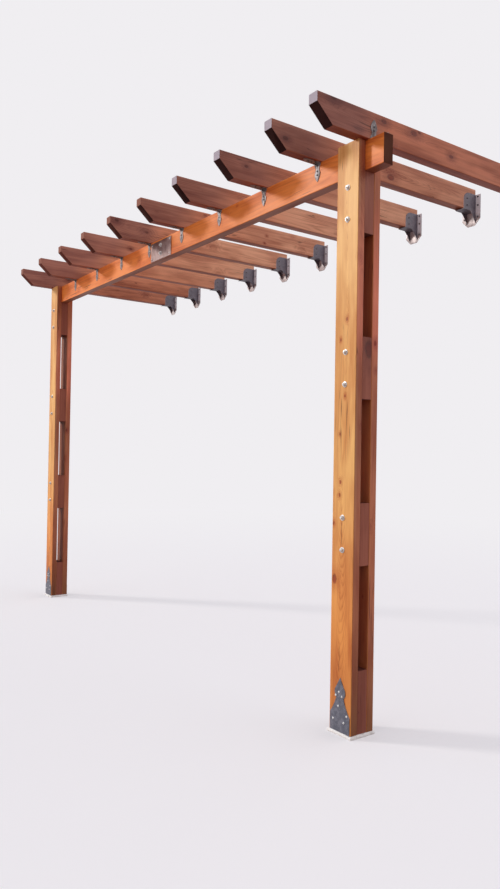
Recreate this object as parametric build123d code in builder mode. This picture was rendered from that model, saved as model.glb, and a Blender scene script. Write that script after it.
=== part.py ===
"""Wooden lean-to pergola: two built-up posts, one spliced beam and ten rafters on hangers.

Millimetres. X runs along the beam, +Y points from the posts to the hangers and +Z is up. The
origin is the centre of the right post's footing, on its underside. Every piece is a solid of
its own.
"""
import os
from string import ascii_lowercase

from build123d import *

# Timber sections
plank_width = 145
plank_thickness = 42
beam_thickness = 58
beam_height = 140
rafter_width = 58
rafter_height = 130
timber_chamfer = 2.5

# Posts
beam_clearance = 2600
spacer_count = 4
spacer_height = 290
spacer_recess = 1.5

# Plan
rafter_count = 10
rafter_spacing = 450
end_bay = 330
end_rafter_shift = 63.5
beam_overhang = 115
wall_distance = 1180

# Rafter tails
tail_overhang = 315
tail_end_height = 46
tail_taper = 93

# Footings
pad_height = 15
pad_margin = 9

# Halved joint in the beam and its plates
lap_length = 160
lap_gap = 0.4
splice_plate_length = 280
splice_plate_height = 126
splice_plate_thickness = 4
splice_plate_edge = 2
splice_shift = 7

# Post shoes, cut from plate
shoe_thickness = 3
shoe_half_width = 65
shoe_side_height = 80
shoe_neck_height = 157
shoe_neck_half_width = 24
shoe_shoulder_hollow = 4
shoe_lobe_height = 180
shoe_lobe_half_width = 35
shoe_cheek_height = 203
shoe_cheek_half_width = 27
shoe_height = 249

# Leaf-shaped angle ties
tie_thickness = 3
tie_width = 44
tie_length = 95
tie_root = 13
tie_waist_width = 27
tie_waist_height = 30
tie_belly_width = 41
tie_belly_height = 50
tie_tip_hollow = 5

# Rafter hangers
steel = 3
hanger_top = 98
hanger_flange = 32
hanger_side_height = 44
hanger_drop = 82
hanger_foot_half_width = 26
hanger_reach = 112
hanger_front_height = 52
hanger_tongue = 34
hanger_tongue_bend = 25
hanger_gusset_reach = 54
hanger_gusset_drop = 68
hanger_gusset_hollow = 4

# Worked out from the sizes above
post_depth = 2 * plank_thickness + beam_thickness
post_front = -post_depth / 2
beam_front = -beam_thickness / 2
beam_bottom = pad_height + beam_clearance
beam_top = beam_bottom + beam_height
rafter_top = beam_top + rafter_height
slot_height = (beam_clearance - spacer_count * spacer_height) / (spacer_count - 1)
rafter_x = [end_rafter_shift] + [
    end_rafter_shift - end_bay - rafter_spacing * i for i in range(rafter_count - 1)
]
left_post_x = rafter_x[-1] + end_rafter_shift
post_x = {"right": 0, "left": left_post_x}
beam_right_end = plank_width / 2 + beam_overhang
beam_left_end = left_post_x - beam_right_end
splice_x = (beam_right_end + beam_left_end) / 2 + splice_shift


def save(part, name):
    """Name a finished piece and write it as a file of its own."""
    part.label = name
    export_step(part, f"parts/{name}.step")


def facing_front(y):
    """Plane that faces the front at depth y, with X to the right and Z up."""
    return Plane.XZ.offset(-y)


def spacer_bottom(i):
    """Height of a spacer's lower end, counted from the footing."""
    return pad_height + i * (spacer_height + slot_height)


def lengthwise(part, axis):
    """The long edges of a timber, which the planer has eased."""
    return part.edges().filter_by(axis).group_by(SortBy.LENGTH)[-1]


def build_pad(side, x):
    with BuildPart() as pad:
        with BuildSketch(Plane.XY):
            with Locations((x, 0)):
                Rectangle(plank_width + 2 * pad_margin, post_depth + 2 * pad_margin)
        extrude(amount=pad_height)
        chamfer(pad.faces().sort_by(Axis.Z)[-1].edges(), timber_chamfer)
    save(pad.part, f"{side}_footing_pad")


def build_plank(side, x, face, y_front):
    with BuildPart() as plank:
        with BuildSketch(facing_front(y_front)):
            with Locations((x, (pad_height + beam_top) / 2)):
                Rectangle(plank_width, beam_top - pad_height)
        extrude(amount=-plank_thickness)
        chamfer(lengthwise(plank, Axis.Z), timber_chamfer)
    save(plank.part, f"{side}_post_{face}_plank")


def build_spacer(side, x, i, name):
    bottom = spacer_bottom(i)
    with BuildPart() as spacer:
        with BuildSketch(facing_front(beam_front)):
            with Locations((x, bottom + spacer_height / 2)):
                Rectangle(plank_width - 2 * spacer_recess, spacer_height)
        extrude(amount=-beam_thickness)
    save(spacer.part, f"{side}_post_{name}_spacer")


def build_shoe(side, x, face, facing):
    """Shoe plate: straight sides, hollow shoulders up to a neck, then a pointed spear head."""
    with BuildPart() as shoe:
        with BuildSketch(facing_front(facing * post_front)):
            with BuildLine(mode=Mode.PRIVATE) as half:
                base = Line((x, pad_height), (x + shoe_half_width, pad_height))
                flank = Line(base @ 1, base @ 1 + Vector(0, shoe_side_height))
                neck = (x + shoe_neck_half_width, pad_height + shoe_neck_height)
                shoulder = SagittaArc(flank @ 1, neck, shoe_shoulder_hollow)
                lobe = ThreePointArc(
                    shoulder @ 1,
                    (x + shoe_lobe_half_width, pad_height + shoe_lobe_height),
                    (x + shoe_cheek_half_width, pad_height + shoe_cheek_height),
                )
                Line(lobe @ 1, (x, pad_height + shoe_height))
            with BuildLine():
                add(half.line)
                mirror(half.line, about=Plane.YZ.offset(x))
            make_face()
        extrude(amount=facing * shoe_thickness)
    save(shoe.part, f"{side}_post_{face}_shoe")


def build_beam_half(side, end_x, y_tongue):
    """Half of the beam, with a tongue half as thick that laps the tongue of the other half."""
    toward_joint = 1 if splice_x > end_x else -1
    shoulder_x = splice_x - toward_joint * lap_length / 2
    tip_x = splice_x + toward_joint * (lap_length / 2 - lap_gap)
    with BuildPart() as beam:
        with BuildSketch(Plane.XY.offset(beam_bottom)):
            with Locations(((end_x + shoulder_x) / 2, 0)):
                Rectangle(abs(shoulder_x - end_x), beam_thickness)
            with Locations(((shoulder_x + tip_x) / 2, y_tongue)):
                Rectangle(abs(tip_x - shoulder_x), beam_thickness / 2)
        extrude(amount=beam_height)
        chamfer(lengthwise(beam, Axis.X), timber_chamfer)
    save(beam.part, f"beam_{side}_half")


def build_splice_plates():
    plate_z = beam_bottom + splice_plate_edge + splice_plate_height / 2
    with BuildPart() as plates:
        for y, outward in ((beam_front, 1), (-beam_front, -1)):
            with BuildSketch(facing_front(y)):
                with Locations((splice_x, plate_z)):
                    Rectangle(splice_plate_length, splice_plate_height)
            extrude(amount=outward * splice_plate_thickness)
    save(plates.part, "splice_plates")


def build_rafter(x, letter):
    """Level rafter with a long taper under its tail and a short plumb end."""
    tail = beam_front - tail_overhang
    with BuildPart() as rafter:
        with BuildSketch(Plane.YZ.offset(x - rafter_width / 2)):
            with BuildLine():
                Polyline(
                    (tail, rafter_top),
                    (tail, rafter_top - tail_end_height),
                    (tail + tail_taper, beam_top),
                    (wall_distance - steel, beam_top),
                    (wall_distance - steel, rafter_top),
                    close=True,
                )
            make_face()
        extrude(amount=rafter_width)
        chamfer(rafter.edges().filter_by(Axis.Y), timber_chamfer)
    save(rafter.part, f"rafter_{letter}")


def leaf():
    """Leaf lying flat: a root as wide as the strip, a waist, a belly and a drawn-out point."""
    with BuildSketch() as sheet:
        with BuildLine():
            root = Polyline((0, 0), (tie_width / 2, 0), (tie_width / 2, tie_root))
            waist = ThreePointArc(
                root @ 1,
                (tie_waist_width / 2, tie_waist_height),
                (tie_belly_width / 2, tie_belly_height),
            )
            SagittaArc(waist @ 1, (0, tie_length), -tie_tip_hollow)
            mirror(about=Plane.YZ)
        make_face()
    return sheet.sketch


def angle_tie(corner, first, second):
    """Angle bent from plate: two leaves that leave one corner along first and second."""
    with BuildPart() as tie:
        for along, outward in ((first, second), (second, first)):
            across = Vector(*along).cross(Vector(*outward))
            with BuildSketch(Plane(origin=corner, x_dir=across, z_dir=outward)):
                add(leaf())
            extrude(amount=tie_thickness)
    return tie.part


def build_rafter_ties(name, y, outward):
    """Ties under the rafters that cross the beam between the posts, on one face of the beam."""
    with BuildPart() as ties:
        for x in rafter_x[1:-1]:
            add(angle_tie((x, y, beam_top), (0, outward, 0), (0, 0, -1)))
    save(ties.part, name)


def build_end_ties():
    """Ties of the two end rafters: one leaf up the rafter's outer face, one on the beam."""
    with BuildPart() as ties:
        for x, outward in ((rafter_x[0], 1), (rafter_x[-1], -1)):
            corner = (x + outward * rafter_width / 2, 0, beam_top)
            add(angle_tie(corner, (outward, 0, 0), (0, 0, 1)))
    save(ties.part, "end_rafter_ties")


def build_hanger(x, letter):
    """Rafter hanger: back plate, two cheeks that end in gussets, a seat and a tongue bent down."""
    half = rafter_width / 2
    flange = half + steel + hanger_flange
    inner = wall_distance - steel
    front = wall_distance - hanger_reach
    corner = hanger_top - hanger_front_height
    with BuildPart() as hanger:
        with BuildSketch(facing_front(wall_distance)):
            with BuildLine():
                Polyline(
                    (x - flange, beam_top + hanger_top),
                    (x - flange, beam_top - hanger_side_height),
                    (x - hanger_foot_half_width, beam_top - hanger_drop),
                    (x + hanger_foot_half_width, beam_top - hanger_drop),
                    (x + flange, beam_top - hanger_side_height),
                    (x + flange, beam_top + hanger_top),
                    close=True,
                )
            make_face()
        extrude(amount=steel)
        for cheek_x in (x - half - steel, x + half):
            with BuildSketch(Plane.YZ.offset(cheek_x)):
                with BuildLine():
                    back = Polyline(
                        (front + corner, beam_top + hanger_top),
                        (inner, beam_top + hanger_top),
                        (inner, beam_top - hanger_gusset_drop),
                    )
                    gusset = SagittaArc(
                        back @ 1,
                        (wall_distance - hanger_gusset_reach, beam_top - steel),
                        -hanger_gusset_hollow,
                    )
                    edge = Polyline(
                        gusset @ 1,
                        (front, beam_top - steel),
                        (front, beam_top + hanger_front_height),
                    )
                    TangentArc(edge @ 1, back @ 0, tangent=(0, 1))
                make_face()
            extrude(amount=steel)
        with BuildSketch(Plane.XY.offset(beam_top)):
            with Locations((x, (front + inner) / 2)):
                Rectangle(rafter_width, inner - front)
        extrude(amount=-steel)
        with BuildSketch(Plane((x, front, beam_top)).rotated((hanger_tongue_bend, 0, 0))):
            with BuildLine():
                Polyline((-half, 0), (0, -hanger_tongue), (half, 0), close=True)
            make_face()
        extrude(amount=-steel)
    save(hanger.part, f"hanger_{letter}")


os.makedirs("parts", exist_ok=True)

for side, x in post_x.items():
    build_pad(side, x)
    build_plank(side, x, "front", post_front)
    build_plank(side, x, "rear", beam_thickness / 2)
    for i, name in enumerate(("foot", "lower", "middle", "top")):
        build_spacer(side, x, i, name)
    build_shoe(side, x, "front", 1)
    build_shoe(side, x, "rear", -1)

build_beam_half("right", beam_right_end, beam_front / 2)
build_beam_half("left", beam_left_end, -beam_front / 2)
build_splice_plates()

for x, letter in zip(rafter_x, ascii_lowercase):
    build_rafter(x, letter)
    build_hanger(x, letter)
build_rafter_ties("front_rafter_ties", beam_front, -1)
build_rafter_ties("rear_rafter_ties", -beam_front, 1)
build_end_ties()
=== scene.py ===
# %% [markdown]
# # A wooden pergola, dressed in its real finishes
#
# Two posts of twin planks carry one beam, ten rafters cross it, and each rafter ends in a steel
# hanger with a flat back plate. The construction is already modelled to size, so this lesson
# adds what a frame of solids lacks: stained pine with rings and knots, painted steel, bolts,
# screws and an uneven mortar bed. Everything is in metres. X runs along the beam, +Y points
# from the posts to the hangers and Z is up.

# %% The frame and the box that the model may fill
from math import pi, radians

import bpy
import numpy as np
from mathutils import Euler, Matrix, Vector


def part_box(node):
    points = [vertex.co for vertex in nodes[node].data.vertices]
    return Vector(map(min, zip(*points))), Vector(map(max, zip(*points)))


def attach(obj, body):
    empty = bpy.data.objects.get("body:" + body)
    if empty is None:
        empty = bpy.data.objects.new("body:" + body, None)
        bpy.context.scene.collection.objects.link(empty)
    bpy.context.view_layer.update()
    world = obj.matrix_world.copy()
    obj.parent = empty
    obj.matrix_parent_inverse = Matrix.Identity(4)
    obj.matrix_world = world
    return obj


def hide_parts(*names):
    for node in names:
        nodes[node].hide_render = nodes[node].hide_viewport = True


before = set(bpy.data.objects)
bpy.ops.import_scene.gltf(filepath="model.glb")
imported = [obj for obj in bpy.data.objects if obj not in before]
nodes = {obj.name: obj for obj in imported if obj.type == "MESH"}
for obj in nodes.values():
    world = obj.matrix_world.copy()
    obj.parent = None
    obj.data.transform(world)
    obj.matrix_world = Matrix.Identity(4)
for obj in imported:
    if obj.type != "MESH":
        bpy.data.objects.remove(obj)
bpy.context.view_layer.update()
chance = np.random.default_rng(27)

# %% [markdown]
# ## Reading sizes from the frame
#
# Nothing is measured twice. The box of a node gives the place of each piece that is added, so
# bolts and screws stay seated on the timber and plate that they hold.

# %% Boxes of nodes as arrays
MM = 0.001
SIDES = ("right", "left")
SPACERS = ("foot", "lower", "middle", "top")
LETTERS = "abcdefghij"
# The faces of a post, and the way that each looks along Y.
FACES = {"front": -1, "rear": 1}


def box(name):
    """Lowest and highest corner of a node as two arrays."""
    low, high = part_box(name)
    return np.array(low), np.array(high)


def centre(name):
    """Middle of a node's box."""
    low, high = box(name)
    return (low + high) / 2


beam_low, beam_high = box("beam_right_half")
beam_bottom = beam_low[2]
beam_top = beam_high[2]
print(f"beam from {beam_bottom:.3f} to {beam_top:.3f} m above the floor")

# %% [markdown]
# ## Writing node trees in short
#
# A procedural material is a graph. Making each node and link by hand takes three lines, so a
# small helper makes a node, sets it up and wires its inputs in one call. A socket given as an
# input is linked, and anything else becomes the input's own value.


# %% A short way to wire shader nodes
class Wiring:
    """Makes the nodes of one tree. A call makes a node, and short methods make common ones."""

    def __init__(self, tree):
        self.tree = tree

    def __call__(self, kind, inputs=None, **settings):
        node = self.tree.nodes.new(kind)
        for key, value in settings.items():
            setattr(node, key, value)
        for key, value in (inputs or {}).items():
            self.connect(node.inputs[key], value)
        return node

    def connect(self, socket, value):
        if isinstance(value, bpy.types.NodeSocket):
            self.tree.links.new(value, socket)
        else:
            socket.default_value = value

    def math(self, operation, first, second=0.0, third=0.0):
        inputs = {0: first, 1: second, 2: third}
        return self("ShaderNodeMath", inputs, operation=operation).outputs[0]

    def vector(self, operation, first, second=(0, 0, 0)):
        return self("ShaderNodeVectorMath", {0: first, 1: second}, operation=operation).outputs[0]

    def length(self, vector):
        return self("ShaderNodeVectorMath", {0: vector}, operation="LENGTH").outputs["Value"]

    def axes(self, vector):
        return self("ShaderNodeSeparateXYZ", {0: vector}).outputs

    def place(self):
        """Object coordinates, which are metres in the frame."""
        return self("ShaderNodeTexCoord").outputs["Object"]

    def mapping(self, vector, scale=(1, 1, 1), location=(0, 0, 0), rotation=(0, 0, 0)):
        inputs = {"Vector": vector, "Scale": scale, "Location": location, "Rotation": rotation}
        return self("ShaderNodeMapping", inputs).outputs[0]

    def noise(self, vector, scale, detail=2.0, roughness=0.5, output="Fac"):
        inputs = {"Vector": vector, "Scale": scale, "Detail": detail, "Roughness": roughness}
        return self("ShaderNodeTexNoise", inputs).outputs[output]

    def fade(self, value, start, end, low=0.0, high=1.0):
        """Eased ramp: low up to start, high past end."""
        inputs = {"Value": value, "From Min": start, "From Max": end, "To Min": low, "To Max": high}
        return self("ShaderNodeMapRange", inputs, interpolation_type="SMOOTHSTEP").outputs[0]

    def mix(self, factor, first, second, blend="MIX"):
        inputs = {0: factor, 6: first, 7: second}
        node = self("ShaderNodeMix", inputs, data_type="RGBA", blend_type=blend)
        return node.outputs[2]

    def ramp(self, value, stops):
        """Grey ramp through (position, brightness) stops."""
        node = self("ShaderNodeValToRGB", {"Fac": value})
        ends = node.color_ramp.elements
        while len(ends) < len(stops):
            ends.new(0.5)
        for element, (position, grey) in zip(ends, stops):
            element.position = position
            element.color = (grey, grey, grey, 1)
        return node.outputs[0]


def linear(red, green, blue):
    """Colour as picked on a screen, from 0 to 255, in the linear values that shaders use."""
    screen = np.array([red, green, blue]) / 255
    lit = np.where(screen <= 0.04045, screen / 12.92, ((screen + 0.055) / 1.055) ** 2.4)
    return (*lit.tolist(), 1.0)


def new_material(name):
    """Empty node material: its wiring and its Principled shader, ready to be fed."""
    material = bpy.data.materials.new(name)
    material.use_nodes = True
    tree = material.node_tree
    shader = tree.nodes["Principled BSDF"]
    return material, Wiring(tree), shader


def on_edges(wire, axes):
    """1 where the normal points between two axes, as it does on a rounded edge."""
    largest = wire.math("MAXIMUM", axes[0], wire.math("MAXIMUM", axes[1], axes[2]))
    return wire.fade(largest, 0.97, 0.85)


# %% [markdown]
# ## Pine under a tinted varnish
#
# A board is a slice through a tree, so its figure is worked out and not painted on. Around the
# pith, the tree's centre line, wood grows in rings, pale in spring and dense in late summer.
# A board cut off the centre shows long nested arches, and its edges show straight lines. The
# distance from the pith divided by the ring width, bent by slow noise, gives all of this at
# once, on every face and on the cut ends, because it is a pattern in space. A wave texture
# would need one setting for each face. Knots are the branches: cells of a Voronoi texture
# stretched along the grain, whose distance also bends the rings round each knot.

# %% The grain as one node group


def make_grain_group():
    """Rings, streaks, fibres, blotches and knots of softwood, grain along the local Z axis.

    ring = fraction of (distance from pith / ring width + bend round knots + slow noise)
    share = distance from the nearest knot / its radius, so that 1 is the knot's rim
    """
    group = bpy.data.node_groups.new("pine_grain", "ShaderNodeTree")
    sockets = group.interface
    sockets.new_socket("Vector", in_out="INPUT", socket_type="NodeSocketVector")
    for name in ("Ring width", "Knots", "Placed knot"):
        sockets.new_socket(name, in_out="INPUT", socket_type="NodeSocketFloat")
    for name in ("Ring", "Streak", "Fibre", "Blotch", "Knot", "Bark", "Halo", "Check"):
        sockets.new_socket(name, in_out="OUTPUT", socket_type="NodeSocketFloat")
    wire = Wiring(group)
    given = wire("NodeGroupInput").outputs
    place = given["Vector"]

    wander = wire.noise(wire.mapping(place, scale=(0.4, 0.4, 0.55)), 1.0, 1.0, output="Color")
    wander = wire.vector("SUBTRACT", wander, (0.5, 0.5, 0.5))
    wander = wire.vector("MULTIPLY", wander, (0.11, 0.11, 0.0))
    bent = wire.vector("ADD", place, wander)

    cells = wire.mapping(place, scale=(8.0, 8.0, 5.0))
    cell = wire("ShaderNodeTexVoronoi", {"Vector": cells, "Scale": 1.0, "Randomness": 0.9})
    size = wire("ShaderNodeSeparateColor", {"Color": cell.outputs["Color"]}).outputs[0]
    radius = wire.math("MULTIPLY", wire.fade(size, 0.35, 1.0, 0.0, 0.11), given["Knots"])
    share = wire.math("DIVIDE", cell.outputs["Distance"], wire.math("ADD", radius, 0.001))
    share = wire.math("MINIMUM", share, given["Placed knot"])
    wobble = wire.noise(wire.mapping(place, scale=(180.0, 180.0, 100.0)), 1.0, 3.0, 0.6)
    share = wire.math("ADD", share, wire.math("MULTIPLY_ADD", wobble, 1.8, -0.85))
    knot = wire.fade(share, 1.35, 0.55)
    rim = wire.math("MULTIPLY", wire.fade(share, 0.6, 0.95), wire.fade(share, 1.4, 1.05))
    bark = wire.math("MULTIPLY", rim, wire.fade(wobble, 0.42, 0.6))
    halo = wire.fade(share, 4.5, 0.8)
    swirl = wire.math("MULTIPLY", wire.fade(share, 5.0, 0.5), 3.0)

    across = wire.vector("MULTIPLY", bent, (1.0, 1.0, 0.0))
    from_pith = wire.length(across)
    turns = wire.math("DIVIDE", from_pith, given["Ring width"])
    ripple = wire.noise(wire.mapping(place, scale=(26.0, 26.0, 2.2)), 1.0, 4.0, 0.6)
    turns = wire.math("MULTIPLY_ADD", ripple, 1.9, turns)
    turns = wire.math("ADD", turns, swirl)
    ring = wire.ramp(
        wire.math("FRACT", turns),
        ((0.0, 0.25), (0.25, 0.0), (0.6, 0.3), (0.84, 1.0), (0.94, 0.8), (1.0, 0.25)),
    )
    clear = wire.noise(wire.mapping(place, scale=(14.0, 14.0, 1.1)), 1.0, 2.0)
    ring = wire.math("MULTIPLY", ring, wire.fade(clear, 0.3, 0.7, 0.25, 1.0))
    streak = wire.noise(wire.mapping(place, scale=(75.0, 75.0, 0.9)), 1.0, 3.0, 0.55)
    fibre = wire.noise(wire.mapping(place, scale=(420.0, 420.0, 9.0)), 1.0, 3.0, 0.6)
    blotch = wire.noise(wire.mapping(bent, scale=(13.0, 13.0, 2.4)), 1.0, 2.5, 0.5)

    split = wire.noise(wire.mapping(bent, scale=(34.0, 34.0, 0.8)), 1.0, 2.0)
    from_split = wire.math("ABSOLUTE", wire.math("SUBTRACT", split, 0.5))
    opened = wire.noise(wire.mapping(place, scale=(7.0, 7.0, 2.4)), 1.0, 1.0)
    check = wire.math("MULTIPLY", wire.fade(from_split, 0.012, 0.003), wire.fade(opened, 0.57, 0.64))

    outputs = {"Ring": ring, "Streak": streak, "Fibre": fibre, "Blotch": blotch}
    outputs.update({"Knot": knot, "Bark": bark, "Halo": halo, "Check": check})
    wire("NodeGroupOutput", outputs)
    return group


grain_group = make_grain_group()
print("grain group with", len(grain_group.nodes), "nodes")

# %% [markdown]
# ## One plank, one tree
#
# Two boards never match, so each timber gets a material of its own from the same functions.
# A Mapping node turns the grain along the piece, leans it a little and puts the pith at a place
# of its own beside or below it. The knots and splits that stand out on the real timbers, and
# the figure of three of them, are listed one by one, and chance spreads the others.

# %% Knots, splits and cuts listed one by one
GRAIN_TURN = {"X": (0, radians(-90), 0), "Y": (radians(90), 0, 0), "Z": (0, 0, 0)}
NO_KNOT = 99.0
SPLIT_SWAY = 14 * MM
SPLIT_TAPER = 20 * MM
SPLIT_RIM = 1.7 * MM
SPLIT_CORE = 0.6 * MM

# A cut: the pith from the middle of the piece, the lean of the grain, the ring width.
PLACED_CUTS = {
    "right_post_front_plank": ((0.01, -0.05, 2.0), (radians(-2.4), 0.0), 2.8 * MM),
    "rafter_a": ((-0.046, 0.015, 4.0), (0.0, radians(1.8)), 4.2 * MM),
    "rafter_b": ((-0.05, -0.01, 2.0), (radians(0.5), radians(-2.2)), 3.8 * MM),
}
# A split: its x and the heights of its ends.
PLACED_SPLITS = {"right_post_front_plank": ((-0.007, 0.87, 1.0), (-0.012, 0.28, 0.42))}
# A knot: its place and its radius.
PLACED_KNOTS = {
    "right_post_front_plank": (
        (-0.051, -0.071, 0.715, 0.013),
        (-0.062, -0.071, 0.975, 0.005),
        (0.002, -0.071, 1.571, 0.004),
        (-0.028, -0.071, 1.394, 0.004),
        (-0.019, -0.071, 1.17, 0.005),
        (-0.024, -0.071, 1.109, 0.005),
        (0.008, -0.071, 1.929, 0.005),
        (-0.031, -0.071, 1.836, 0.004),
    ),
    "right_post_middle_spacer": ((0.071, 0.012, 1.79, 0.024),),
    "right_post_rear_plank": ((0.072, 0.05, 1.82, 0.007),),
    "rafter_a": ((0.092, 0.066, 2.86, 0.01), (0.092, 0.31, 2.874, 0.006), (0.092, 0.548, 2.816, 0.009)),
    "rafter_b": ((-0.238, 0.46, 2.79, 0.015), (-0.238, -0.259, 2.81, 0.009)),
    "rafter_c": ((-0.688, -0.172, 2.837, 0.007),),
    "rafter_g": ((-2.488, 0.03, 2.826, 0.007),),
}


def nearest_knot(wire, place, along, knots):
    """Smallest of (distance to a placed knot / its radius), shorter along the grain."""
    share = NO_KNOT
    stretch = tuple(0.6 if axis == along else 1.0 for axis in "XYZ")
    for x, y, z, radius in knots:
        offset = wire.vector("MULTIPLY", wire.vector("SUBTRACT", place, (x, y, z)), stretch)
        one = wire.math("DIVIDE", wire.length(offset), radius)
        share = wire.math("MINIMUM", one, share)
    return share


def upright_split(wire, place, splits):
    """1 on thin cracks that follow the grain up a post: x sways round a line with height."""
    sideways, _, height = wire.axes(place)
    sway = wire.noise(wire.mapping(place, scale=(0.0, 0.0, 24.0)), 1.0, 2.0)
    swayed = wire.math("MULTIPLY_ADD", sway, -SPLIT_SWAY, sideways)
    cover = 0.0
    for x, bottom, top in splits:
        away = wire.math("ABSOLUTE", wire.math("SUBTRACT", swayed, x - SPLIT_SWAY / 2))
        above = wire.fade(height, bottom, bottom + SPLIT_TAPER)
        below = wire.fade(height, top, top - SPLIT_TAPER)
        line = wire.math("MULTIPLY", wire.fade(away, SPLIT_RIM, SPLIT_CORE), above)
        cover = wire.math("MAXIMUM", wire.math("MULTIPLY", line, below), cover)
    return cover


def grain_of(wire, place, name, along, cut, knots):
    """Outputs of the grain group, turned along the piece and shifted to the piece's own pith."""
    pith, lean, ring_width = cut
    turn = Euler((*lean, 0)).to_matrix() @ Euler(GRAIN_TURN[along]).to_matrix()
    shift = Vector(pith) - turn @ Vector(centre(name))
    local = wire.mapping(place, location=shift, rotation=turn.to_euler())
    inputs = {"Vector": local, "Ring width": ring_width, "Knots": knots}
    inputs["Placed knot"] = nearest_knot(wire, place, along, PLACED_KNOTS.get(name, ()))
    return wire("ShaderNodeGroup", inputs, node_tree=grain_group).outputs


print("knots placed by hand:", sum(len(knots) for knots in PLACED_KNOTS.values()))

# %% [markdown]
# ## Stain, painted light and painted shade
#
# Stain soaks deeper into cut ends. The sloping undersides of the tails carry painted shade, and
# the share of the surface normal that lies along the grain tells ends and slopes apart. The
# beam's near-black end is painted shade as well. The faces between the twin planks carry painted
# shade, and the planed arrises carry less stain. Light and shade are painted by place too. The
# post fronts have painted sunlight towards the top and are darker at the foot, and their flanks
# carry painted shade, lifted by painted light in bands. The tails of the rafters carry painted
# shade, darkest at the right end of the row. Behind the beam all but the end rafters carry
# painted light.

# %% Painted light and shade by place
PAINTED_SLOPE_SHADE = linear(30, 9, 11)
PAINTED_LEFT_SLOPE_SHADE = linear(112, 62, 52)
PAINTED_TAIL_SHADE = linear(104, 70, 74)
PAINTED_LEFT_TAIL_SHADE = linear(146, 104, 104)
PAINTED_SUN_TINTS = (linear(255, 216, 136), linear(216, 140, 70))
PAINTED_INNER_LIGHT_TINTS = (linear(255, 208, 170), linear(186, 108, 80))
KNOT_SHADE = (0.55, 0.26, 0.18, 1.0)
BARK_SHADE = (0.2, 0.12, 0.1, 1.0)
FLANK_SHADE = (0.6, 0.5, 0.5, 1.0)
INNER_SHADE = (0.5, 0.4, 0.58, 1.0)

# Between the first place and the second, in metres, a change goes from nothing to full.
DARKER_FOOT_HEIGHT = (0.7, 0.0)
PAINTED_SUN_HEIGHT = (0.4, 1.3)
POST_FRONT_Y = (-0.05, -0.06)
FRONT_TO_REAR_PLANK_Y = (-0.03, 0.03)
TAIL_Y = (0.12, -0.12)
BEHIND_BEAM_Y = (0.1, 0.6)
FAR_END_X = (-1.2, -3.0)
PAST_FIRST_RAFTER_X = (0.0, -0.4)
BEFORE_LAST_RAFTER_X = (-3.6, -2.2)

# Brightness of the painted light on the flanks: on the front planks and the rear ones,
# times that by share of height.
FLANK_LIGHT = (3.0, 3.6)
POST_TOP = 2.75
PAINTED_FLANK_LIGHT = (
    (0.0, 0.1), (0.05, 0.2), (0.11, 0.31), (0.18, 0.42), (0.4, 0.5), (0.47, 0.38),
    (0.55, 0.38), (0.62, 0.5), (0.68, 1.0), (0.78, 1.0), (0.84, 0.75), (0.91, 0.42), (1.0, 0.36),
)


def darker_foot(wire, tint, height):
    """Tint darkened towards the foot of a post."""
    foot = wire.fade(height, *DARKER_FOOT_HEIGHT, 0.0, 0.5)
    return wire.mix(foot, tint, FLANK_SHADE, "MULTIPLY")


def post_foot_and_sunlight(wire, tint, depth, xyz):
    """Darker towards the foot, and painted sunlight towards the top on faces at the front."""
    _, across, height = xyz
    tint = darker_foot(wire, tint, height)
    # Painted sunlight: the front of a post turns paler towards the top.
    front = wire.fade(across, *POST_FRONT_Y)
    painted_sun = wire.math("MULTIPLY", front, wire.fade(height, *PAINTED_SUN_HEIGHT, 0.0, 0.55))
    return wire.mix(painted_sun, tint, wire.mix(depth, *PAINTED_SUN_TINTS))


def rafter_light_and_shade(wire, tint, depth, xyz):
    """Painted shade on the tails, and in the inner row painted light behind the beam."""
    sideways, across, _ = xyz
    # Painted shade on the tails, lighter towards the left end.
    tail_shade = wire.mix(wire.fade(sideways, *FAR_END_X), PAINTED_TAIL_SHADE, PAINTED_LEFT_TAIL_SHADE)
    tail_shade = wire.mix(depth, tail_shade, FLANK_SHADE, "MULTIPLY")
    tint = wire.mix(wire.fade(across, *TAIL_Y, 0.0, 0.55), tint, tail_shade)
    # Painted light on the inner rafters behind the beam.
    inner_row = wire.fade(sideways, *PAST_FIRST_RAFTER_X)
    inner_row = wire.math("MULTIPLY", inner_row, wire.fade(sideways, *BEFORE_LAST_RAFTER_X))
    inner_light = wire.math("MULTIPLY", inner_row, wire.fade(across, *BEHIND_BEAM_Y, 0.0, 0.55))
    return wire.mix(inner_light, tint, wire.mix(depth, *PAINTED_INNER_LIGHT_TINTS))


def shaded_flank_tone(wire, tint, depth, xyz, along, light_bands):
    """Painted shade on a timber's flanks, darker towards a post's foot, with painted light in bands on
    a post's planks.
    """
    _, across, height = xyz
    tint = wire.mix(depth, tint, FLANK_SHADE, "MULTIPLY")
    if along == "Z":
        tint = darker_foot(wire, tint, height)
    if light_bands:
        light = wire.ramp(wire.math("DIVIDE", height, POST_TOP), PAINTED_FLANK_LIGHT)
        by_plank = wire.fade(across, *FRONT_TO_REAR_PLANK_Y, *FLANK_LIGHT)
        light = wire.math("MULTIPLY", light, by_plank)
        tint = wire.mix(1.0, tint, light, "MULTIPLY")
    return tint


def face_shares(wire, along):
    """The normal's parts along the axes, and what they tell: 1 on cut ends, 1 on slopes."""
    normal = wire("ShaderNodeNewGeometry").outputs["True Normal"]
    axes = wire.axes(wire.vector("ABSOLUTE", normal))
    along_share = axes["XYZ".index(along)]
    end = wire.fade(along_share, 0.9, 0.97)
    slope = wire.math("MULTIPLY", wire.fade(along_share, 0.35, 0.5), wire.math("SUBTRACT", 1.0, end))
    return axes, end, slope


print("brightness of the posts' flanks at", len(PAINTED_FLANK_LIGHT), "heights")

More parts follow.
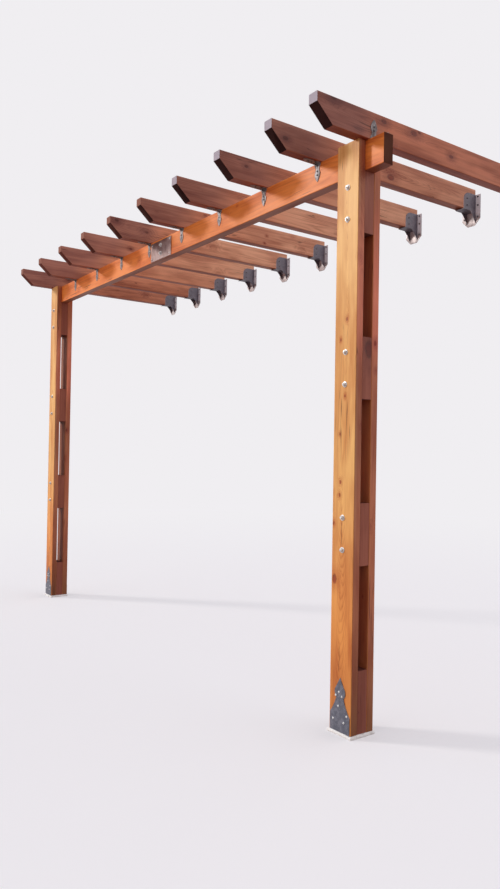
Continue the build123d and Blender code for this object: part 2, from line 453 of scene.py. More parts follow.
# %% [markdown]
# ## The whole material
#
# Tint is mixed between a pale and a deep tone by ring, streak, fibre, blotch and the halo of a
# knot. Then follow painted light and shade by place with a darker foot on the posts, the painted
# shade of flanks and inner faces, knots, splits, the painted shade of slopes, ends and arrises,
# each as one mix over what is there already. The varnish is thin, and sinks into sawn faces.

# %% Stained pine for any timber
INNER_FACE_RIM = 2.9 * MM
INNER_FACE_CORE = 2.3 * MM


def varnish(wire, shader, ring, fibre, blotch, gap, sawn):
    """Gloss that sinks into sawn faces, over rings and fibres that stand up a little."""
    rough = wire.math("MULTIPLY_ADD", fibre, 0.18, wire.fade(blotch, 0.3, 0.7, 0.46, 0.6))
    wire.connect(shader.inputs["Roughness"], wire.math("MULTIPLY_ADD", sawn, 0.2, rough))
    wire.connect(shader.inputs["Specular IOR Level"], wire.fade(sawn, 0.0, 1.0, 0.32, 0.12))
    wire.connect(shader.inputs["Coat Weight"], wire.fade(sawn, 0.0, 1.0, 0.08, 0.0))
    shader.inputs["Coat Roughness"].default_value = 0.32
    relief = wire.math("MULTIPLY_ADD", ring, 0.5, wire.math("MULTIPLY", fibre, 0.35))
    relief = wire.math("SUBTRACT", relief, wire.math("MULTIPLY", gap, 1.2))
    bump = wire("ShaderNodeBump", {"Height": relief, "Strength": 0.4, "Distance": 0.4 * MM})
    wire.connect(shader.inputs["Normal"], bump.outputs[0])


def stained_pine(name, along, cut, tints, contrast, knots, inner_face):
    """Varnished pine whose grain runs along one axis and whose pith lies off the middle.

    inner_face = how far the faces between twin planks lie from the middle, or 0 without any
    """
    pale, deep, end_tint, flank, flank_shade_tint = tints
    material, wire, shader = new_material(f"pine_{name}")
    place = wire.place()
    xyz = wire.axes(place)
    grain = grain_of(wire, place, name, along, cut, knots)
    ring, streak, fibre, blotch, knot, bark, halo, check = grain

    depth = wire.math("MULTIPLY_ADD", ring, 0.44, wire.fade(blotch, 0.36, 0.64, -0.1, 0.5))
    depth = wire.math("ADD", depth, wire.fade(streak, 0.32, 0.68, -0.06, 0.22))
    depth = wire.math("MULTIPLY_ADD", fibre, 0.3, wire.math("SUBTRACT", depth, 0.17))
    depth = wire.math("MULTIPLY_ADD", halo, 0.5, wire.math("MULTIPLY", depth, contrast))
    tint = wire.mix(depth, pale, deep)
    # Painted sunlight and shade by place; the posts are also darker towards the foot.
    if along == "Z":
        tint = post_foot_and_sunlight(wire, tint, depth, xyz)
    if along == "Y":
        tint = rafter_light_and_shade(wire, tint, depth, xyz)

    axes, end, slope = face_shares(wire, along)
    # Painted shade: flanks turned from the light take the darker flank tint.
    side = wire.fade(axes["XYZ".index(flank)], 0.55, 0.8, 0.0, 0.75)
    tint = wire.mix(side, tint, shaded_flank_tone(wire, flank_shade_tint, depth, xyz, along, inner_face > 0))
    # Painted shade on the faces between the twin planks.
    if inner_face:
        away = wire.math("SUBTRACT", wire.math("ABSOLUTE", xyz[1]), inner_face)
        inside = wire.fade(away, INNER_FACE_RIM, INNER_FACE_CORE)
        tint = wire.mix(inside, tint, INNER_SHADE, "MULTIPLY")
    tint = wire.mix(knot, tint, KNOT_SHADE, "MULTIPLY")
    gap = wire.math("MAXIMUM", wire.math("MULTIPLY", bark, 0.85), wire.math("MULTIPLY", check, 0.7))
    if name in PLACED_SPLITS:
        gap = wire.math("MAXIMUM", gap, upright_split(wire, place, PLACED_SPLITS[name]))
    tint = wire.mix(gap, tint, BARK_SHADE, "MULTIPLY")

    # Painted shade on the sloping undersides of the tails, lighter towards the left end.
    slope_shade = wire.mix(wire.fade(xyz[0], *FAR_END_X), PAINTED_SLOPE_SHADE, PAINTED_LEFT_SLOPE_SHADE)
    tint = wire.mix(wire.math("MULTIPLY", slope, 0.94), tint, slope_shade)
    # Cut ends take their end tint; the beam's near-black one is painted shade.
    tint = wire.mix(wire.math("MULTIPLY", end, 0.9), tint, end_tint)
    level = wire.math("SUBTRACT", 1.0, wire.math("ADD", slope, end))
    arris = wire.math("MULTIPLY", on_edges(wire, axes), level)
    tint = wire.mix(wire.math("MULTIPLY", arris, 0.3), tint, pale)
    wire.connect(shader.inputs["Base Color"], tint)
    varnish(wire, shader, ring, fibre, blotch, gap, wire.math("MAXIMUM", end, slope))
    return material


# %% [markdown]
# ## Finishing the timbers
#
# The posts and the beam face the sun, and their stain has gone a golden orange. The rafters
# are a redder brown, and the first and last of them have tones of their own. The real arrises
# are rounded by sanding. A Weld modifier joins the loose triangles of a solid and a narrow
# Bevel then rounds its edges, which leaves the solid itself as it is.

# %% Timber materials, one for each piece
# Tints of pale wood, deep wood and cut ends, then the axis that the flanks face and their tint.
# The flank tint is painted shade on the faces turned from the light.
PLANK_TINTS = (
    linear(252, 166, 84), linear(188, 84, 32), linear(110, 56, 36), "X", linear(142, 80, 68)
)
# The beam's near-black end tint is painted shade.
BEAM_TINTS = (
    linear(252, 144, 60), linear(200, 86, 26), linear(36, 26, 32), "Z", linear(124, 82, 70)
)
RAFTER_TINTS = (
    linear(236, 156, 116), linear(148, 76, 54), linear(156, 108, 94), "Z", linear(150, 72, 54)
)
SPACER_TINTS = (
    linear(172, 100, 74), linear(116, 58, 44), linear(92, 48, 40), "X", linear(156, 86, 66)
)
PALE_END = linear(190, 184, 196)
PALE_ENDS = "abcd"
TONES = {
    "rafter_a": (0.76, 0.6, 0.54),
    "rafter_b": (0.86, 0.84, 0.82),
    "rafter_c": (0.82, 0.72, 0.66),
    "rafter_i": (0.88, 0.86, 0.86),
    "rafter_j": (0.78, 0.76, 0.78),
}
TIMBER_ARRIS = 0.8 * MM
PLATE_ARRIS = 0.5 * MM
JOIN_DISTANCE = 1e-5


def dress(name, material, arris=PLATE_ARRIS):
    """Gives a node its material and rounds its edges."""
    piece = nodes[name]
    piece.data.materials.clear()
    piece.data.materials.append(material)
    piece.modifiers.new("join triangles", "WELD").merge_threshold = JOIN_DISTANCE
    rounding = piece.modifiers.new("round edges", "BEVEL")
    rounding.width = arris
    rounding.segments = 2
    rounding.limit_method = "ANGLE"
    rounding.angle_limit = radians(25)


def own_cut(reach):
    """Where the pith lies from the middle, how the grain leans and how wide the rings are."""
    angle = chance.uniform(0, 2 * pi)
    far = chance.uniform(*reach)
    pith = (far * np.cos(angle), far * np.sin(angle), chance.uniform(-9, 9))
    lean = np.radians(chance.uniform(-1.3, 1.3, 2)).tolist()
    return pith, lean, chance.uniform(4.5, 8.0) * MM


def toned(tint, tone):
    """A tint times a tone, which is one number or one each for red, green and blue."""
    return (*np.multiply(tone, tint[:3]).tolist(), 1.0)


def dress_timber(name, along, tints, reach, contrast, knots=1.0, inner_face=0.0):
    """Its own slice of its own tree, and a depth of tint that varies a little.

    reach = least and greatest distance of the pith from the middle of the piece
    """
    cut = PLACED_CUTS.get(name, own_cut(reach))
    tone = TONES.get(name, chance.uniform(0.9, 1.08))
    pale, deep, end_tint, flank, flank_shade_tint = tints
    if along == "Y" and name[-1] in PALE_ENDS:
        end_tint = PALE_END
    tints = (toned(pale, tone), toned(deep, tone), end_tint, flank, flank_shade_tint)
    material = stained_pine(name, along, cut, tints, contrast, knots, inner_face)
    dress(name, material, TIMBER_ARRIS)


for side in SIDES:
    for face in FACES:
        plank = f"{side}_post_{face}_plank"
        dress_timber(plank, "Z", PLANK_TINTS, (0.04, 0.09), 0.85, knots=0.7, inner_face=beam_high[1])
    for spacer in SPACERS:
        block = f"{side}_post_{spacer}_spacer"
        dress_timber(block, "Z", SPACER_TINTS, (0.03, 0.08), 0.8, knots=0.6)
for side in SIDES:
    dress_timber(f"beam_{side}_half", "X", BEAM_TINTS, (0.05, 0.1), 0.9, knots=0.7)
for letter in LETTERS:
    dress_timber(f"rafter_{letter}", "Y", RAFTER_TINTS, (0.04, 0.1), 0.9)
print("timbers dressed:", sum(material.name.startswith("pine_") for material in bpy.data.materials))

# %% [markdown]
# ## Steel, from black hangers to bright zinc
#
# The hangers and shoes are cut and bent from plate and brushed with a thin dark paint, which
# leaves streaks, pale dust and bare spots on the edges. The faces of a hanger that look to the
# front carry painted light, near white beside the rafter and a paler grey below it, so its dark
# screws stand out. The leaf-shaped ties are galvanised and half hidden by splashes of varnish.
# Bolts and screws are bright zinc. One function makes them all from two tints, a wear tint for
# the edges and a few numbers.

# %% Metal finishes
EDGE_WEAR = 0.5

# Heights between which the painted light on the front of a hanger goes from its lower tint
# to its upper one.
FRONT_LIGHT_CHANGE = (beam_top - 45 * MM, beam_top - 10 * MM)


def steel_finish(name, body, blot, worn, rough, metallic, scale=30.0, streak=(1, 1, 1), front=()):
    """Plate with clouds of a second tint, specks, and bare edges where the normal turns.

    front = painted light on the faces that look to the front: tints below the rafters and beside them
    """
    material, wire, shader = new_material(name)
    place = wire.mapping(wire.place(), scale=streak)
    cloud = wire.noise(place, scale, 4.0, 0.6)
    speck = wire.noise(place, scale * 11, 2.0, 0.5)
    tint = wire.mix(wire.fade(cloud, 0.42, 0.64), body, blot)
    tint = wire.mix(wire.fade(speck, 0.66, 0.74, 0.0, 0.6), tint, worn)
    normal = wire("ShaderNodeNewGeometry").outputs["True Normal"]
    # Painted light on the faces that look to the front.
    if front:
        pale = wire.mix(wire.fade(wire.axes(place)[2], *FRONT_LIGHT_CHANGE), *front)
        looks_forward = wire.fade(wire.axes(normal)[1], -0.9, -0.97)
        share = wire.math("MULTIPLY", looks_forward, wire.fade(cloud, 0.3, 0.6, 1.0, 0.8))
        tint = wire.mix(share, tint, pale)
    edge = on_edges(wire, wire.axes(wire.vector("ABSOLUTE", normal)))
    edge = wire.math("MULTIPLY", edge, wire.fade(cloud, 0.35, 0.6, 0.3, 1.0))
    tint = wire.mix(wire.math("MULTIPLY", edge, EDGE_WEAR), tint, worn)
    wire.connect(shader.inputs["Base Color"], tint)
    wire.connect(shader.inputs["Roughness"], wire.fade(cloud, 0.3, 0.7, rough - 0.1, rough + 0.12))
    shader.inputs["Metallic"].default_value = metallic
    bump = wire("ShaderNodeBump", {"Height": cloud, "Strength": 0.3, "Distance": 0.5 * MM})
    wire.connect(shader.inputs["Normal"], bump.outputs[0])
    return material


# The front tints are painted light, paler beside the rafters than below them.
hanger_paint = steel_finish(
    "hanger_paint", linear(96, 91, 103), linear(116, 110, 120), linear(206, 200, 204), 0.5, 0.2,
    front=(linear(184, 172, 172), linear(252, 248, 252)),
)
shoe_paint = steel_finish(
    "shoe_paint", linear(92, 94, 106), linear(116, 116, 128), linear(206, 206, 210), 0.42, 0.35, 45.0
)
splice_paint = steel_finish(
    "splice_paint", linear(122, 92, 88), linear(152, 126, 122), linear(214, 204, 202), 0.4, 0.3, 22.0
)
tie_zinc = steel_finish(
    "tie_zinc", linear(136, 130, 132), linear(84, 70, 68), linear(206, 202, 204), 0.55, 0.35, 60.0,
    streak=(1, 1, 0.35),
)
bolt_zinc = steel_finish(
    "bolt_zinc", linear(240, 240, 238), linear(214, 214, 214), linear(248, 248, 246), 0.35, 0.15, 90.0
)
nut_zinc = steel_finish(
    "nut_zinc", linear(230, 228, 224), linear(196, 194, 192), linear(240, 240, 238), 0.35, 0.2, 90.0
)
dark_screw = steel_finish(
    "dark_screw", linear(46, 40, 46), linear(66, 60, 64), linear(150, 146, 150), 0.45, 0.4, 90.0
)
for letter in LETTERS:
    dress(f"hanger_{letter}", hanger_paint)
for side in SIDES:
    for face in FACES:
        dress(f"{side}_post_{face}_shoe", shoe_paint)
dress("splice_plates", splice_paint)
for face in (*FACES, "end"):
    dress(f"{face}_rafter_ties", tie_zinc)
print("nodes dressed, timber and steel:", sum(bool(piece.modifiers) for piece in nodes.values()))

# %% [markdown]
# ## Turned and pressed shapes as grids
#
# A washer, a nut and a screw head are all one kind of surface: rings of points round an axis,
# each ring with its own radius and height. A function of the angle and the ring gives every
# point at once as arrays. A nut's ring is a hexagon cut by the cone that chamfers its corners,
# and a stud's radius follows a helix. A fan of triangles to the axis closes each end.

# %% Rings of points to a closed mesh
AROUND = 24
NUT_AROUND = 48
THREAD_DEPTH = 0.55
TIP_CHAMFER = 0.9
CROSS_HALF_WIDTH = 0.12
CROSS_REACH = 0.6
CROSS_DEPTH = 0.45


def angles(count):
    """Equal steps round a full turn."""
    return np.arange(count) * 2 * pi / count


def ring_surface(radius, height):
    """Points and faces of rings about Z: point = (r cos t, r sin t, h).

    radius and height are arrays of one row for each ring and one column for each angle. A fan
    to a point on the axis closes the first ring, and another the last.
    """
    rows, around = radius.shape
    angle = angles(around)
    ring = np.stack([radius * np.cos(angle), radius * np.sin(angle), height], axis=-1)
    first = np.array([[0, 0, height[0].mean()]])
    last = np.array([[0, 0, height[-1].mean()]])
    points = np.concatenate([first, ring.reshape(-1, 3), last])
    row, column = np.meshgrid(np.arange(rows - 1), np.arange(around), indexing="ij")
    near = 1 + row * around + column
    beside = 1 + row * around + (column + 1) % around
    quads = np.stack([near, beside, beside + around, near + around], axis=-1).reshape(-1, 4)
    spoke = np.arange(around)
    after = (spoke + 1) % around
    tip = len(points) - 1
    bottom = np.stack([np.zeros_like(spoke), 1 + after, 1 + spoke, np.zeros_like(spoke)], axis=-1)
    start = 1 + (rows - 1) * around
    top = np.stack([start + spoke, start + after, np.full_like(spoke, tip), start + spoke], axis=-1)
    return points, np.concatenate([quads, bottom, top])


def turned(profile):
    """Surface of revolution through (radius, height) points, in millimetres."""
    radius, height = np.array(profile, dtype=float).T * MM
    ones = np.ones((1, AROUND))
    return ring_surface(radius[:, None] * ones, height[:, None] * ones)


def hexagon_nut(across_flats, thickness, base):
    """Hexagonal prism whose corners are cut by a 30 degree cone at both ends, in millimetres.

    radius = the smaller of flat / cos(angle from the flat's middle) and the cone's radius
    """
    from_flat = (angles(NUT_AROUND) + pi / 6) % (pi / 3) - pi / 6
    hexagon = across_flats / 2 / np.cos(from_flat)
    rise = np.array([0, 0, 0.06, 0.16, 0.84, 0.94, 1, 1]) * thickness
    from_end = np.minimum(rise, thickness - rise)
    cone = across_flats / 2 * 0.97 + from_end / np.tan(radians(30))
    radius = np.minimum(hexagon[None, :], cone[:, None])
    radius[[0, -1]] *= 0.3
    height = np.repeat((base + rise)[:, None], NUT_AROUND, axis=1)
    return ring_surface(radius * MM, height * MM)


def threaded_end(diameter, start, end, pitch=1.5):
    """Stud whose radius dips with a triangle wave of (height / pitch - turn)."""
    turn = np.arange(AROUND) / AROUND
    rise = np.arange(start, end, pitch / 5)
    wave = np.abs(((rise[:, None] / pitch - turn[None, :]) % 1) * 2 - 1)
    radius = diameter / 2 - THREAD_DEPTH * wave
    radius[-1] -= TIP_CHAMFER
    height = np.repeat(rise[:, None], AROUND, axis=1)
    return ring_surface(radius * MM, height * MM)


def pan_screw(diameter, height):
    """Domed head with a cross recess: the dome sinks where a point lies on the cross."""
    reach = np.array([1.0, 1.0, 0.92, 0.78, 0.62, 0.46, 0.34, 0.22, 0.1])
    dome = np.array([-0.2, 0.35, 0.62, 0.82, 0.93, 0.98, 1.0, 1.0, 1.0])
    angle = angles(AROUND)
    arm = np.minimum(np.abs(np.cos(angle)), np.abs(np.sin(angle)))[None, :] * reach[:, None]
    recess = (arm < CROSS_HALF_WIDTH) & (reach[:, None] < CROSS_REACH)
    rise = dome[:, None] - CROSS_DEPTH * recess
    radius = np.repeat(reach[:, None] * diameter / 2, AROUND, axis=1)
    return ring_surface(radius * MM, rise * height * MM)


print("a screw head has", len(pan_screw(9, 3.2)[1]), "faces")

# %% [markdown]
# ## Many copies, one mesh
#
# A pergola has more than two hundred screws. As separate objects they would be slow to handle,
# so one mesh holds all copies of a kind: the points of one screw, turned to face outwards and
# spun by chance as a screwdriver leaves them, are repeated for each place in one array
# operation.

# %% Copies joined in one mesh


def facing(outward):
    """Rotation that takes +Z to the outward direction."""
    return np.array(Vector(outward).to_track_quat("Z", "Y").to_matrix())


def joined(shapes):
    """Several (points, faces) as one."""
    start = np.cumsum([0] + [len(points) for points, _ in shapes])
    points = np.concatenate([points for points, _ in shapes])
    faces = np.concatenate([faces + first for (_, faces), first in zip(shapes, start)])
    return points, faces


def scattered(shape, places, outward):
    """Copies of a shape at places, facing outwards, each with a turn of its own about its axis."""
    points, faces = shape
    places = np.asarray(places, dtype=float)
    turn = chance.uniform(0, 2 * pi, len(places))
    cos, sin = np.cos(turn), np.sin(turn)
    spun = np.empty((len(places), len(points), 3))
    spun[..., 0] = cos[:, None] * points[:, 0] - sin[:, None] * points[:, 1]
    spun[..., 1] = sin[:, None] * points[:, 0] + cos[:, None] * points[:, 1]
    spun[..., 2] = points[:, 2]
    copies = spun @ facing(outward).T + places[:, None, :]
    shifts = np.arange(len(places)) * len(points)
    copied = faces[None, :, :] + shifts[:, None, None]
    return copies.reshape(-1, 3), copied.reshape(-1, 4)


def add_piece(name, shape, material, slot, *replaced):
    """Makes an object of points and faces and rides it on the frame."""
    points, faces = shape
    mesh = bpy.data.meshes.new(name)
    outline = [list(dict.fromkeys(face)) for face in faces.tolist()]
    mesh.from_pydata(points.tolist(), [], outline)
    mesh.shade_smooth()
    mesh.set_sharp_from_angle(angle=radians(35))
    mesh.materials.append(material)
    piece = bpy.data.objects.new(name, mesh)
    bpy.context.scene.collection.objects.link(piece)
    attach(piece, "root")
    if replaced:
        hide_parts(*replaced)
    print(f"{name}: {len(mesh.polygons)} faces")


# %% [markdown]
# ## Bolts through the posts and the beam
#
# Two bolts clamp the planks on each of the three upper spacers, 70 mm from its ends, and two
# more hold the plates on the beam's joint. In front each shows a washer, a nut and the bolt's
# threaded tip, and behind a washer and a hexagonal head. The tips are a surface of their own
# because a texture can't show a thread from the side.

# %% Bolts, washers and nuts
BOLT_INSET = 70 * MM
BOLT_DRIFT = 1.5 * MM
SPLICE_BOLT_RISES = (40 * MM, 96 * MM)
WASHER_TOP = 2.3
WASHER = ((4, 0), (14, 0), (14.2, 0.6), (14, 1.9), (13.2, WASHER_TOP), (5, WASHER_TOP), (5, 1.2))
ACROSS_FLATS = 17
washer = turned(WASHER)
tip = threaded_end(diameter=10, start=8, end=14.5)
bolt_nut = joined([hexagon_nut(ACROSS_FLATS, thickness=8, base=WASHER_TOP), tip])
bolt_head = hexagon_nut(ACROSS_FLATS, thickness=6.5, base=WASHER_TOP)


def bolt_heights(side):
    """Heights of a post's bolts: two for each spacer above the foot."""
    ends = [box(f"{side}_post_{spacer}_spacer") for spacer in SPACERS[1:]]
    return [z for low, high in ends for z in (low[2] + BOLT_INSET, high[2] - BOLT_INSET)]


front = []
rear = []
for side in SIDES:
    middle = centre(f"{side}_post_front_plank")[0]
    y_front = box(f"{side}_post_front_plank")[0][1]
    y_rear = box(f"{side}_post_rear_plank")[1][1]
    for z in bolt_heights(side):
        drift = chance.normal(0, BOLT_DRIFT)
        front.append((middle + drift, y_front, z))
        rear.append((middle + drift, y_rear, z))
plate_low, plate_high = box("splice_plates")
splice_x = (plate_low[0] + plate_high[0]) / 2
for rise in SPLICE_BOLT_RISES:
    front.append((splice_x, plate_low[1], beam_bottom + rise))
    rear.append((splice_x, plate_high[1], beam_bottom + rise))
washers = joined([scattered(washer, front, (0, -1, 0)), scattered(washer, rear, (0, 1, 0))])
add_piece("bolt_washers", washers, bolt_zinc, "bolt_steel")
add_piece("bolt_nuts", scattered(bolt_nut, front, (0, -1, 0)), nut_zinc, "bolt_steel")
add_piece("bolt_heads", scattered(bolt_head, rear, (0, 1, 0)), nut_zinc, "bolt_steel")

# %% [markdown]
# ## Screws of the hangers, shoes, plates and ties
#
# Small domed screws hold every plate. Each hanger has three on either side of its rafter, and
# two through each cheek. Each shoe has seven in a loose pattern, and a leaf of a tie three.

# %% Screw places
PLATE = 3 * MM
FLANGE_MARGIN = 17 * MM
FLANGE_RISES = (85 * MM, 35 * MM, -33 * MM)
CHEEK_RISES = (22 * MM, 62 * MM)
CHEEK_INSET = 80 * MM
SPLICE_MARGIN_X = 18 * MM
SPLICE_MARGIN_Z = 16 * MM
small_screw = pan_screw(9, 3.2)
plate_screw = pan_screw(11, 4)
y_flange = box("hanger_a")[1][1] - PLATE
flange_screws = []
cheek_screws = {1: [], -1: []}
for letter in LETTERS:
    low, high = box(f"hanger_{letter}")
    rafter_low, rafter_high = box(f"rafter_{letter}")
    x = (low[0] + high[0]) / 2
    reach = (high[0] - low[0]) / 2 - FLANGE_MARGIN
    for sign in (-1, 1):
        flange_screws += [(x + sign * reach, y_flange, beam_top + rise) for rise in FLANGE_RISES]
        face = rafter_high[0] + PLATE if sign > 0 else rafter_low[0] - PLATE
        cheek_screws[sign] += [(face, y_flange - CHEEK_INSET, beam_top + rise) for rise in CHEEK_RISES]
flanges = scattered(plate_screw, flange_screws, (0, -1, 0))
add_piece("hanger_plate_screws", flanges, dark_screw, "bolt_steel")
cheeks = [scattered(small_screw, places, (sign, 0, 0)) for sign, places in cheek_screws.items()]
add_piece("hanger_side_screws", joined(cheeks), dark_screw, "bolt_steel")

# Places on a shoe in millimetres: right of its middle and above its foot.
SHOE_SCREWS = ((-5, 183), (-26, 164), (15, 165), (-8, 118), (-42, 53), (29, 50), (48, 84))
shoe_shapes = []
for side in SIDES:
    for face, direction in FACES.items():
        low, high = box(f"{side}_post_{face}_shoe")
        x = (low[0] + high[0]) / 2
        y = low[1] if direction < 0 else high[1]
        places = [(x + dx * MM, y, low[2] + rise * MM) for dx, rise in SHOE_SCREWS]
        shoe_shapes.append(scattered(plate_screw, places, (0, direction, 0)))
add_piece("shoe_screws", joined(shoe_shapes), bolt_zinc, "bolt_steel")

plate_shapes = []
for y, direction in ((plate_low[1], -1), (plate_high[1], 1)):
    corners = [
        (x, y, z)
        for x in (plate_low[0] + SPLICE_MARGIN_X, plate_high[0] - SPLICE_MARGIN_X)
        for z in (plate_low[2] + SPLICE_MARGIN_Z, plate_high[2] - SPLICE_MARGIN_Z)
    ]
    plate_shapes.append(scattered(plate_screw, corners, (0, direction, 0)))
add_piece("splice_plate_screws", joined(plate_shapes), bolt_zinc, "bolt_steel")

# %% Screws of the leaf ties
LEAF_RISES = (14 * MM, 42 * MM, 60 * MM)
tie_shapes = []
rafter_middles = [centre(f"rafter_{letter}")[0] for letter in LETTERS]
for direction in FACES.values():
    beam_face = beam_low[1] if direction < 0 else beam_high[1]
    face = beam_face + direction * PLATE
    down = [(x, face, beam_top - rise) for x in rafter_middles[1:-1] for rise in LEAF_RISES]
    under = [
        (x, beam_face + direction * rise, beam_top - PLATE)
        for x in rafter_middles[1:-1]
        for rise in LEAF_RISES
    ]
    tie_shapes.append(scattered(small_screw, down, (0, direction, 0)))
    tie_shapes.append(scattered(small_screw, under, (0, 0, -1)))
for letter, direction in (("a", 1), ("j", -1)):
    low, high = box(f"rafter_{letter}")
    face = high[0] if direction > 0 else low[0]
    up = [(face + direction * PLATE, 0, beam_top + rise) for rise in LEAF_RISES]
    tie_shapes.append(scattered(small_screw, up, (direction, 0, 0)))
add_piece("tie_screws", joined(tie_shapes), dark_screw, "bolt_steel")

# %% [markdown]
# ## Mortar beds
#
# Each post stands on a thin white bed of mortar that was pressed out a little all round. Its
# outline wanders and its top is trowelled by eye. It is one grid over the plan, with a height
# that falls off at the rim and slow waves on top. It stays within its plain solid.

# %% Mortar material and beds


def mortar_finish():
    """White cement mortar with sand grains and faint grey patches."""
    material, wire, shader = new_material("white_mortar")
    place = wire.place()
    patch = wire.noise(place, 28.0, 4.0, 0.6)
    sand = wire.noise(place, 900.0, 2.0, 0.6)
    tint = wire.mix(wire.fade(patch, 0.4, 0.7), linear(254, 253, 251), linear(236, 232, 228))
    tint = wire.mix(wire.fade(sand, 0.6, 0.72, 0.0, 0.25), tint, linear(160, 152, 144))
    wire.connect(shader.inputs["Base Color"], tint)
    wire.connect(shader.inputs["Roughness"], wire.fade(patch, 0.3, 0.7, 0.75, 0.92))
    bump = wire("ShaderNodeBump", {"Height": sand, "Strength": 0.5, "Distance": 0.6 * MM})
    wire.connect(shader.inputs["Normal"], bump.outputs[0])
    return material


BED_AROUND = 144
RIM_WANDER = 5 * MM
TROWEL_WAVE = 0.06


def mortar_bed(low, high):
    """Closed slab on a polar grid that fills a rectangle: rings shrink from rim to middle.

    A ring point is the middle plus share times the rectangle's edge point in its direction,
    pulled in by slow waves of the angle. The height rises with an eased step from the rim.
    """
    angle = angles(BED_AROUND)
    half = (high - low)[:2] / 2
    edge = 1 / np.maximum(np.abs(np.cos(angle)) / half[0], np.abs(np.sin(angle)) / half[1])
    waves = sum(
        chance.uniform(0.2, 0.5) / count * np.sin(count * angle + chance.uniform(0, 2 * pi))
        for count in (3, 5, 8, 13, 21)
    )
    rim = edge - RIM_WANDER * (0.5 + 0.5 * waves / np.abs(waves).max())
    share = np.array([0.2, 0.8, 0.99, 1.0, 1.0, 0.995, 0.985, 0.97, 0.94, 0.9, 0.6, 0.2])
    rise = np.array([0.0, 0.0, 0.0, 0.1, 0.35, 0.6, 0.8, 0.9, 0.96, 1.0, 1.0, 1.0])
    radius = share[:, None] * rim[None, :]
    outer = share[:, None] > 0.88
    top = (high[2] - low[2]) * (1 - TROWEL_WAVE * (1 + np.sin(7 * angle + 1))[None, :] * outer)
    points, faces = ring_surface(radius, low[2] + rise[:, None] * top)
    middle = (low + high) / 2
    return points + np.array([middle[0], middle[1], 0]), faces


white_mortar = mortar_finish()
for side in SIDES:
    bed = mortar_bed(*box(f"{side}_footing_pad"))
    add_piece(f"{side}_mortar_bed", bed, white_mortar, "white_mortar", f"{side}_footing_pad")

# %% [markdown]
# ## Studio: pale floor, soft suns and the sky
#
# The light follows the outdoor one. A soft sun stands in front on the left, so the front faces
# are bright and the right-hand faces fall into a reddish shade. Two very wide lamps fill in
# from the front and from behind, and the sky from all round. They are suns too, because light
# from very far leaves no pool on the floor. The floor fades into the background with distance,
# so no horizon cuts the picture. The camera sees the floor and the background pale. Other rays
# see a darker floor, so that the undersides of the rafters stay as dark as they are outdoors.

# %% Floor, background and lamps
FLOOR_SEEN = linear(252, 250, 252)
FLOOR_FELT = linear(136, 108, 98)
BACKGROUND = linear(240, 238, 241)
SKY = linear(222, 222, 234)
HAZE_START = 1.0
HAZE_END = 13.0
FLOOR_SPOKES = 64
FLOOR_RINGS = 24
FLOOR_REACH = 300.0
FLOOR_MIDDLE_X = -1.9
FLOOR_DROP = 0.5 * MM


def seen_directly(wire):
    """1 for rays from the camera and from mirrors, 0 for rays that gather light."""
    rays = wire("ShaderNodeLightPath").outputs
    return wire.math("MAXIMUM", rays["Is Camera Ray"], rays["Is Glossy Ray"])


def floor_mesh():
    """Wide round floor: rings whose radius grows by a fixed ratio, so that it reaches far."""
    angle = angles(FLOOR_SPOKES)
    radius = np.geomspace(1.0, FLOOR_REACH, FLOOR_RINGS)
    x = radius[:, None] * np.cos(angle)
    y = radius[:, None] * np.sin(angle)
    points = np.stack([x + FLOOR_MIDDLE_X, y, np.full_like(x, -FLOOR_DROP)], axis=-1).reshape(-1, 3)
    row, column = np.meshgrid(np.arange(FLOOR_RINGS - 1), np.arange(FLOOR_SPOKES), indexing="ij")
    near = row * FLOOR_SPOKES + column
    beside = row * FLOOR_SPOKES + (column + 1) % FLOOR_SPOKES
    quads = np.stack([near, near + FLOOR_SPOKES, beside + FLOOR_SPOKES, beside], axis=-1)
    mesh = bpy.data.meshes.new("studio_floor")
    mesh.from_pydata(points.tolist(), [], quads.reshape(-1, 4).tolist() + [list(range(FLOOR_SPOKES))])
    return mesh


def make_floor():
    """Floor that looks pale, counts as darker for light, and fades into the background."""
    mesh = floor_mesh()
    floor = bpy.data.objects.new("studio_floor", mesh)
    bpy.context.scene.collection.objects.link(floor)
    material, wire, shader = new_material("studio_floor")
    seen = seen_directly(wire)
    wire.connect(shader.inputs["Base Color"], wire.mix(seen, FLOOR_FELT, FLOOR_SEEN))
    shader.inputs["Roughness"].default_value = 0.9
    shader.inputs["Specular IOR Level"].default_value = 0.1
    away = wire.length(wire.place())
    haze = wire.math("MULTIPLY", wire.fade(away, HAZE_START, HAZE_END, 0.35, 1.0), seen)
    far = wire("ShaderNodeEmission", {"Color": BACKGROUND, "Strength": 1.0})
    both = wire("ShaderNodeMixShader", {0: haze, 1: shader.outputs[0], 2: far.outputs[0]})
    wire.connect(material.node_tree.nodes["Material Output"].inputs["Surface"], both.outputs[0])
    mesh.materials.append(material)


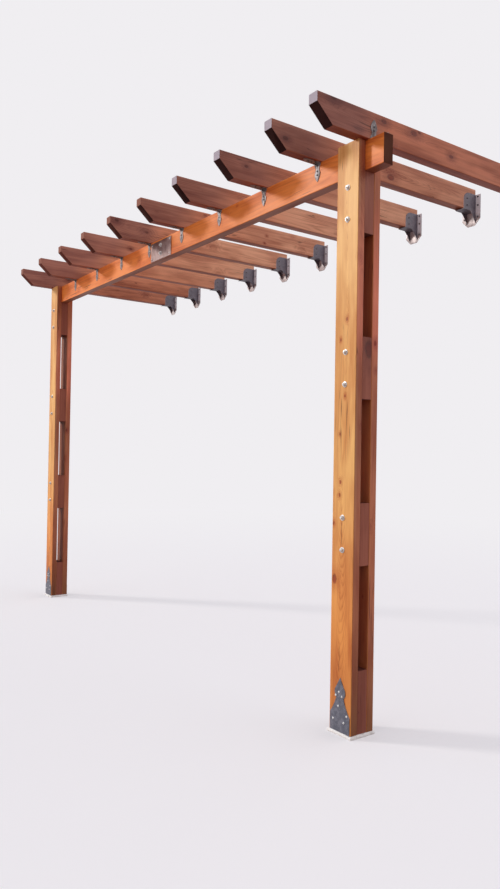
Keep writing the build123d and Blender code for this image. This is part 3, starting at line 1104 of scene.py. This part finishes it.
def make_sky(strength):
    """World light: the sky's tint for light, and the pale background where it is seen."""
    world = bpy.data.worlds.new("studio_sky")
    world.use_nodes = True
    bpy.context.scene.world = world
    wire = Wiring(world.node_tree)
    light = world.node_tree.nodes["Background"]
    light.inputs["Color"].default_value = SKY
    light.inputs["Strength"].default_value = strength
    backdrop = wire("ShaderNodeBackground", {"Color": BACKGROUND, "Strength": 1.0})
    inputs = {0: seen_directly(wire), 1: light.outputs[0], 2: backdrop.outputs[0]}
    both = wire("ShaderNodeMixShader", inputs)
    wire.connect(world.node_tree.nodes["World Output"].inputs["Surface"], both.outputs[0])


def make_sun(name, strength, angle, toward, tint):
    """Light from very far that arrives in a cone: a small angle is a sun, a wide one a sky."""
    lamp = bpy.data.lights.new(name, "SUN")
    lamp.energy = strength
    lamp.angle = radians(angle)
    lamp.color = tint
    sun = bpy.data.objects.new(name, lamp)
    sun.rotation_euler = Vector(toward).to_track_quat("-Z", "Y").to_euler()
    bpy.context.scene.collection.objects.link(sun)


make_floor()
make_sky(strength=0.62)
make_sun("sun", strength=1.55, angle=9, toward=(0.66, 0.66, -0.35), tint=(1.0, 0.965, 0.91))
make_sun("front_light", strength=0.85, angle=70, toward=(0.1, 1, -0.2), tint=(1.0, 0.98, 0.95))
make_sun("rear_light", strength=1.65, angle=110, toward=(-0.5, -1, -0.08), tint=(1.0, 0.94, 0.89))
print("lamps:", [light.name for light in bpy.data.lights])

# %% [markdown]
# ## The camera
#
# Its place and lens were worked out from the photograph by resection: the corners of the posts
# and the beam have known sizes, and only one camera puts them all where the picture has them.

# %% Camera
CAMERA_PLACE = (2.4922, -2.3842, 1.2947)
CAMERA_TURN = 54.515
CAMERA_PITCH = 0.731
CAMERA_ROLL = -0.956
LENS = 29.364

lens = bpy.data.cameras.new("camera")
lens.lens = LENS
lens.sensor_width = 36
camera = bpy.data.objects.new("camera", lens)
turn = Matrix.Rotation(radians(CAMERA_TURN), 4, "Z") @ Matrix.Rotation(radians(CAMERA_PITCH), 4, "X")
turn = turn @ Matrix.Rotation(radians(CAMERA_ROLL), 4, "Y") @ Matrix.Rotation(radians(90), 4, "X")
camera.matrix_world = Matrix.Translation(CAMERA_PLACE) @ turn
bpy.context.scene.collection.objects.link(camera)
bpy.context.scene.camera = camera
bpy.context.scene.view_settings.view_transform = "Standard"
